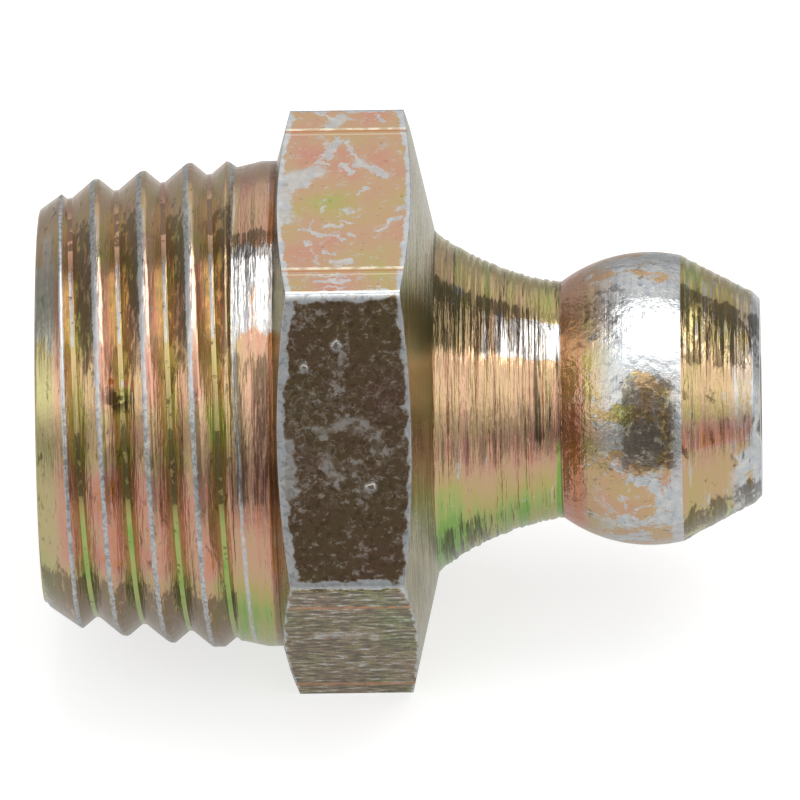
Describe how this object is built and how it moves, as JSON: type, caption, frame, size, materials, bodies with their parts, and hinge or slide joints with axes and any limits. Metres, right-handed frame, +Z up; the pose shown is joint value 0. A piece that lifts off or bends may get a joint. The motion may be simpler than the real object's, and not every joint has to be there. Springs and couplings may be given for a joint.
{
  "type": "grease nipple",
  "caption": "Straight grease nipple with a tapered threaded shank, a hexagon, a flared neck and a ball head with a spring-loaded check ball.",
  "frame": {"origin": "on the axis, where the threaded shank meets the hexagon", "axes": "+X along the axis from the thread to the head, +Z up and square to the hexagon flat that the nipple lies on, +Y to the back"},
  "size_m": [0.0154, 0.0126, 0.011],
  "materials": {
    "chromated_steel": "turned steel, zinc plated and yellow chromated, with worn silver edges",
    "ball_steel": "ground and polished",
    "spring_steel": "drawn wire"
  },
  "bodies": {
    "body": {"nipple_body": "chromated_steel", "check_spring": "spring_steel"},
    "ball": {"check_ball": "ball_steel"}
  },
  "joints": [
    {"name": "ball_lift", "type": "slide", "parent": "body", "child": "ball", "axis": [-1, 0, 0], "range_m": [0, 0.001], "stiffness_N_per_m": 300, "springref_m": -0.001, "deforming": ["check_spring"]}
  ]
}
